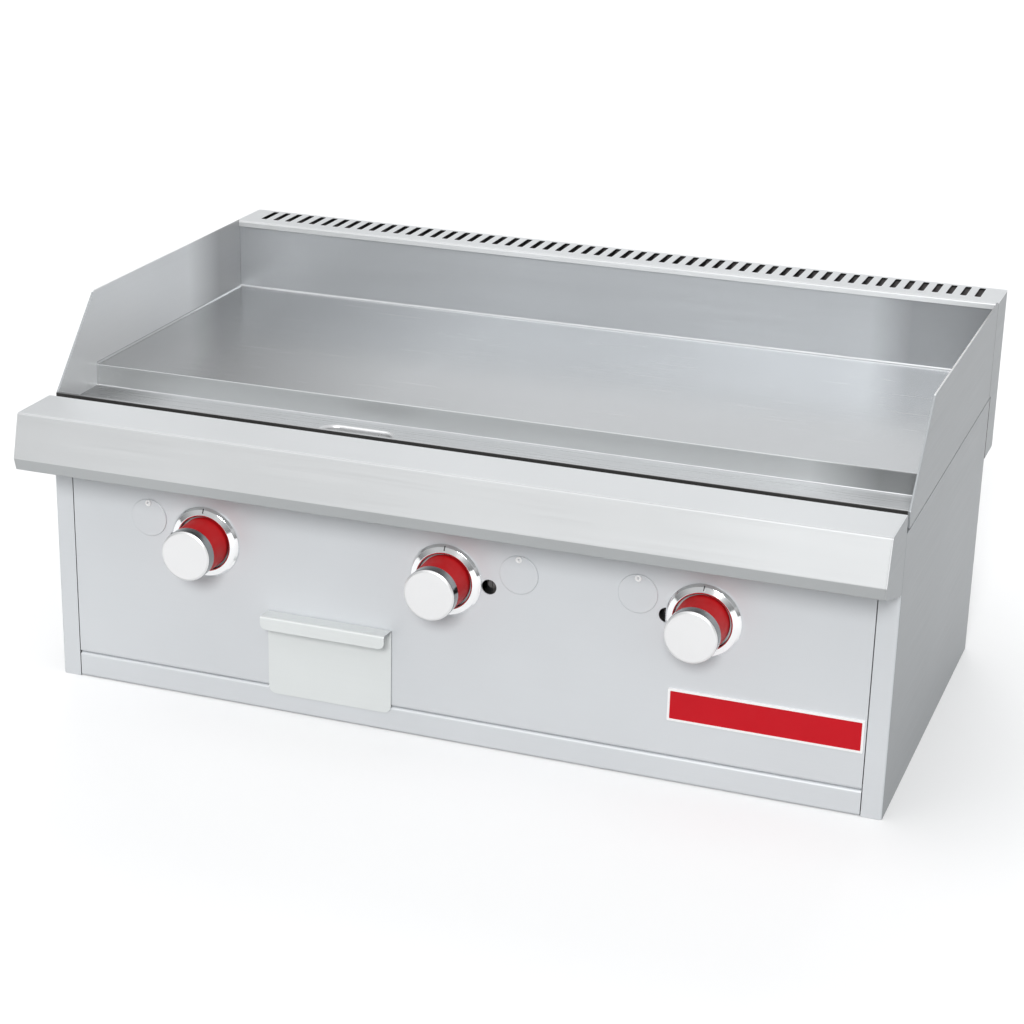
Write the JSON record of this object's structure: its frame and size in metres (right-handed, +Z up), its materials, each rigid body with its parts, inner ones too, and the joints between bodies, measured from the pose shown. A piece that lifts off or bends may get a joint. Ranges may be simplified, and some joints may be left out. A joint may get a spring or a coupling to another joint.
{
  "type": "flat top griddle",
  "caption": "Countertop gas griddle: thick steel plate between splashes, grease trough and drawer, rail, turning knobs, swing port covers and a slotted flue.",
  "frame": {"origin": "middle of the bounding box's base, on the surface that the griddle stands on", "axes": "+X to the cook's right, +Y back towards the flue, +Z up"},
  "size_m": [0.914, 0.594, 0.411],
  "materials": {
    "body_steel": "brushed stainless, horizontal grain",
    "rail_steel": "brushed stainless, horizontal grain",
    "splash_steel": "brushed stainless",
    "plate_steel": "ground and polished steel",
    "trough_steel": "satin stainless",
    "inner_steel": "dull aluminised sheet",
    "drawer_steel": "bright satin stainless",
    "cover_steel": "brushed stainless disc",
    "screw_steel": "zinc plated",
    "rivet_steel": "bright rivet",
    "burner_steel": "heat-darkened steel",
    "aluminium_tube": "drawn tube",
    "black_pipe": "black iron pipe",
    "brass": "machined brass",
    "chrome": "polished chrome",
    "grip_red": "glossy heat-proof plastic",
    "nameplate_red": "red enamel field in a bright border"
  },
  "bodies": {
    "root": {"left_side_panel": "body_steel", "right_side_panel": "body_steel", "control_panel": "body_steel", "kick_strip": "body_steel", "base_pan": "inner_steel", "rear_panel": "inner_steel", "rear_screws": "screw_steel", "front_rail": "rail_steel", "rail_end_caps": "rail_steel", "griddle_plate": "plate_steel", "grease_trough": "trough_steel", "grease_chute": "trough_steel", "left_splash": "splash_steel", "right_splash": "splash_steel", "backsplash": "splash_steel", "flue_shell": "splash_steel", "vent_cap": "splash_steel", "heat_shield": "inner_steel", "front_bearer": "inner_steel", "rear_bearer": "inner_steel", "burner_rest": "inner_steel", "manifold_pipe": "black_pipe", "supply_pipe": "black_pipe", "pipe_clamps": "inner_steel", "cover_rivets": "rivet_steel", "pilot_valves": "brass", "pilot_tubes": "aluminium_tube", "pilot_burners": "burner_steel", "drawer_runners": "inner_steel", "nameplate": "nameplate_red", "burner_1": "burner_steel", "gas_valve_1": "brass", "bezel_1": "chrome", "burner_2": "burner_steel", "gas_valve_2": "brass", "bezel_2": "chrome", "burner_3": "burner_steel", "gas_valve_3": "brass", "bezel_3": "chrome"},
    "knob_1": {"valve_stem_1": "brass", "knob_grip_1": "grip_red", "knob_cap_1": "chrome"},
    "port_cover_1": {"port_cover_1": "cover_steel"},
    "air_shutter_1": {"air_shutter_1": "inner_steel"},
    "pilot_screw_1": {"pilot_screw_1": "brass"},
    "knob_2": {"valve_stem_2": "brass", "knob_grip_2": "grip_red", "knob_cap_2": "chrome"},
    "port_cover_2": {"port_cover_2": "cover_steel"},
    "air_shutter_2": {"air_shutter_2": "inner_steel"},
    "pilot_screw_2": {"pilot_screw_2": "brass"},
    "knob_3": {"valve_stem_3": "brass", "knob_grip_3": "grip_red", "knob_cap_3": "chrome"},
    "port_cover_3": {"port_cover_3": "cover_steel"},
    "air_shutter_3": {"air_shutter_3": "inner_steel"},
    "pilot_screw_3": {"pilot_screw_3": "brass"},
    "grease_drawer": {"drawer_front": "drawer_steel", "drawer_pan": "drawer_steel"}
  },
  "joints": [
    {"name": "knob_1_turn", "type": "hinge", "parent": "root", "child": "knob_1", "pos_m": [-0.278, -0.217, 0.182], "axis": [0, -1, 0], "range_deg": [0, 90]},
    {"name": "port_cover_1_swing", "type": "hinge", "parent": "root", "child": "port_cover_1", "pos_m": [-0.344, -0.2179, 0.2162], "axis": [0, -1, 0], "range_deg": [-90, 30]},
    {"name": "air_shutter_1_turn", "type": "hinge", "parent": "root", "child": "air_shutter_1", "pos_m": [-0.278, -0.156, 0.182], "axis": [0, 1, 0], "range_deg": [0, 45]},
    {"name": "pilot_screw_1_turn", "type": "hinge", "parent": "root", "child": "pilot_screw_1", "pos_m": [-0.316, -0.2, 0.181], "axis": [0, -1, 0], "range_deg": [-180, 180]},
    {"name": "knob_2_turn", "type": "hinge", "parent": "root", "child": "knob_2", "pos_m": [-0.006, -0.217, 0.182], "axis": [0, -1, 0], "range_deg": [0, 90]},
    {"name": "port_cover_2_swing", "type": "hinge", "parent": "root", "child": "port_cover_2", "pos_m": [0.073, -0.2179, 0.2162], "axis": [0, -1, 0], "range_deg": [-90, 90]},
    {"name": "air_shutter_2_turn", "type": "hinge", "parent": "root", "child": "air_shutter_2", "pos_m": [-0.006, -0.156, 0.182], "axis": [0, 1, 0], "range_deg": [0, 45]},
    {"name": "pilot_screw_2_turn", "type": "hinge", "parent": "root", "child": "pilot_screw_2", "pos_m": [0.041, -0.2, 0.181], "axis": [0, -1, 0], "range_deg": [-180, 180]},
    {"name": "knob_3_turn", "type": "hinge", "parent": "root", "child": "knob_3", "pos_m": [0.266, -0.217, 0.182], "axis": [0, -1, 0], "range_deg": [0, 90]},
    {"name": "port_cover_3_swing", "type": "hinge", "parent": "root", "child": "port_cover_3", "pos_m": [0.198, -0.2179, 0.2162], "axis": [0, -1, 0], "range_deg": [-90, 30]},
    {"name": "air_shutter_3_turn", "type": "hinge", "parent": "root", "child": "air_shutter_3", "pos_m": [0.266, -0.156, 0.182], "axis": [0, 1, 0], "range_deg": [0, 45]},
    {"name": "pilot_screw_3_turn", "type": "hinge", "parent": "root", "child": "pilot_screw_3", "pos_m": [0.228, -0.2, 0.181], "axis": [0, -1, 0], "range_deg": [-180, 180]},
    {"name": "grease_drawer_slide", "type": "slide", "parent": "root", "child": "grease_drawer", "axis": [0, -1, 0], "range_m": [0, 0.26]}
  ]
}
